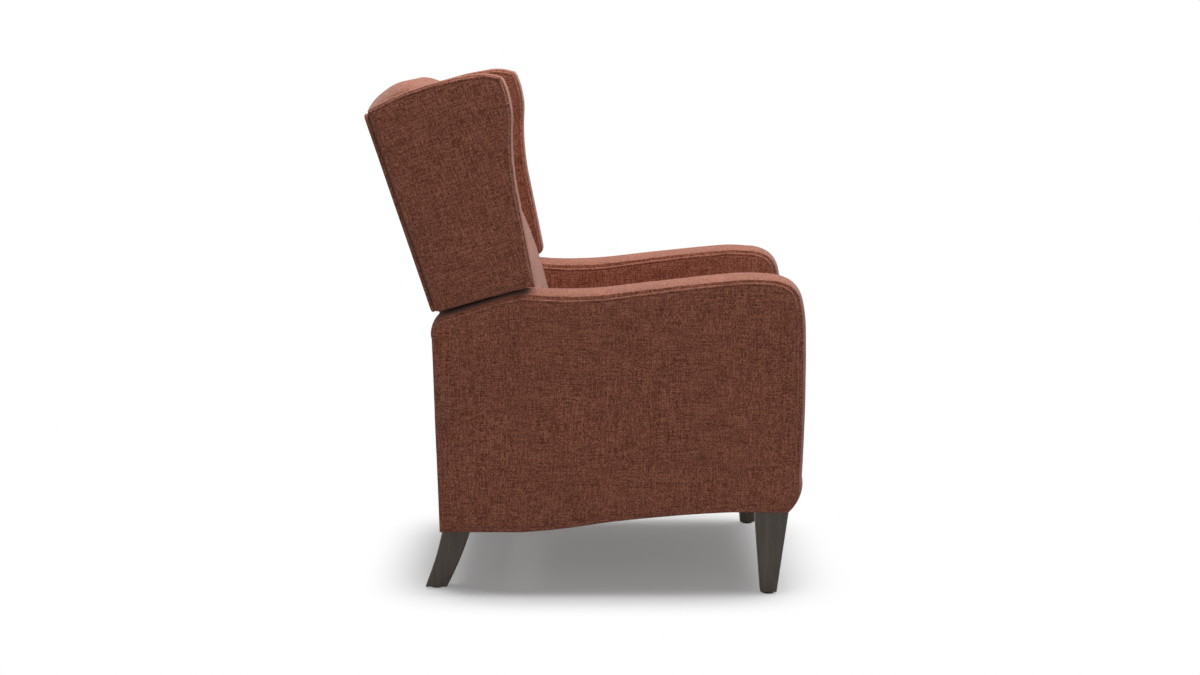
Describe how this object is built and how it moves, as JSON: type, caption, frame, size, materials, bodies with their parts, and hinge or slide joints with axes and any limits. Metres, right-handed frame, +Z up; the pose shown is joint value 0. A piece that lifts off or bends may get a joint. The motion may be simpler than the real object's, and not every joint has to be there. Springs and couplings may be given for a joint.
{
  "type": "high leg recliner",
  "caption": "Upholstered push-back recliner with wings, high tapered legs, a footrest that folds out and a back that reclines.",
  "frame": {"origin": "On the floor, at the centre of the chair's outer box, back upright and footrest closed.", "axes": "+Z up, the front of the chair faces -Y, the sitter's right side is at -X."},
  "size_m": [0.76, 0.9154, 1.0877],
  "materials": {
    "upholstery": "woven tweed, terracotta brown, heathered, matt",
    "leg_wood": "espresso stained hardwood, satin",
    "frame_wood": "bare plywood and softwood",
    "glide": "black nylon",
    "zinc": "zinc plated",
    "black_steel": "black e-coat, satin",
    "spring_steel": "oiled spring steel",
    "clip_plastic": "black nylon"
  },
  "bodies": {
    "base": {"right_arm_frame": "frame_wood", "right_arm_cover": "upholstery", "left_arm_frame": "frame_wood", "left_arm_cover": "upholstery", "front_right_leg": "leg_wood", "front_left_leg": "leg_wood", "rear_right_leg": "leg_wood", "rear_left_leg": "leg_wood", "leg_glides": "glide", "leg_bolts": "zinc", "front_rail": "frame_wood", "rear_rail": "frame_wood", "tail_panel": "upholstery", "right_base_plate": "black_steel", "left_base_plate": "black_steel", "base_plate_screws": "zinc", "lower_swing_pins": "zinc"},
    "front_swing": {"right_front_swing_link": "black_steel", "left_front_swing_link": "black_steel"},
    "rear_swing": {"right_rear_swing_link": "black_steel", "left_rear_swing_link": "black_steel"},
    "seat": {"right_seat_plate": "black_steel", "left_seat_plate": "black_steel", "seat_plate_pins": "zinc", "side_seat_rails": "frame_wood", "front_seat_rail": "upholstery", "rear_seat_rail": "frame_wood", "seat_plate_screws": "zinc", "seat_springs": "spring_steel", "spring_clips": "clip_plastic", "cross_tube": "black_steel", "seat_cushion": "upholstery"},
    "rear_main": {"right_rear_main_link": "black_steel", "left_rear_main_link": "black_steel", "main_knee_pins": "zinc"},
    "front_main": {"right_front_main_link": "black_steel", "left_front_main_link": "black_steel"},
    "rear_stay": {"right_rear_stay_link": "black_steel", "left_rear_stay_link": "black_steel", "stay_knee_pins": "zinc"},
    "front_stay": {"right_front_stay_link": "black_steel", "left_front_stay_link": "black_steel"},
    "footrest": {"footrest_board": "frame_wood", "footrest_pad": "upholstery", "footrest_brackets": "black_steel", "footrest_pins": "zinc", "footrest_screws": "zinc"},
    "back": {"back_brackets": "black_steel", "back_bracket_screws": "zinc", "right_back_post": "frame_wood", "left_back_post": "frame_wood", "back_top_rail": "frame_wood", "back_mid_rail": "frame_wood", "back_low_rail": "frame_wood", "outside_back": "upholstery", "right_wing_board": "frame_wood", "left_wing_board": "frame_wood", "right_wing_cover": "upholstery", "left_wing_cover": "upholstery", "back_cushion": "upholstery"}
  },
  "joints": [
    {"name": "seat_glide", "type": "hinge", "parent": "base", "child": "front_swing", "pos_m": [0, -0.25, 0.24], "axis": [1, 0, 0], "range_deg": [0, 40]},
    {"name": "rear_swing_turn", "type": "hinge", "parent": "base", "child": "rear_swing", "pos_m": [0, 0.02, 0.24], "axis": [1, 0, 0], "range_deg": [0, 40]},
    {"name": "seat_level", "type": "hinge", "parent": "front_swing", "child": "seat", "pos_m": [0, -0.17222, 0.31778], "axis": [1, 0, 0], "range_deg": [-40, 0]},
    {"name": "main_rise", "type": "hinge", "parent": "seat", "child": "rear_main", "pos_m": [0, -0.2697, 0.3075], "axis": [-1, 0, 0], "range_deg": [0, 44.33]},
    {"name": "main_unfold", "type": "hinge", "parent": "rear_main", "child": "front_main", "pos_m": [0, -0.34034, 0.18535], "axis": [-1, 0, 0], "range_deg": [-88.66, 0]},
    {"name": "footrest_turn", "type": "hinge", "parent": "front_main", "child": "footrest", "pos_m": [0, -0.36798, 0.32372], "axis": [-1, 0, 0], "range_deg": [0, 126.33]},
    {"name": "stay_rise", "type": "hinge", "parent": "seat", "child": "rear_stay", "pos_m": [0, -0.3222, 0.3136], "axis": [-1, 0, 0], "range_deg": [0, 62.79]},
    {"name": "stay_unfold", "type": "hinge", "parent": "rear_stay", "child": "front_stay", "pos_m": [0, -0.35336, 0.15625], "axis": [-1, 0, 0], "range_deg": [-112.52, 0]},
    {"name": "back_recline", "type": "hinge", "parent": "seat", "child": "back", "pos_m": [0, 0.225, 0.345], "axis": [-1, 0, 0], "range_deg": [0, 28]}
  ],
  "couplings": [
    {"joint": "rear_swing_turn", "follows": "seat_glide", "ratio": 1},
    {"joint": "seat_level", "follows": "seat_glide", "ratio": -1},
    {"joint": "main_rise", "follows": "seat_glide", "ratio": 1.1082},
    {"joint": "main_unfold", "follows": "seat_glide", "ratio": -2.2165},
    {"joint": "footrest_turn", "follows": "seat_glide", "ratio": 3.1582},
    {"joint": "stay_rise", "follows": "seat_glide", "ratio": 1.5697},
    {"joint": "stay_unfold", "follows": "seat_glide", "ratio": -2.8129}
  ]
}
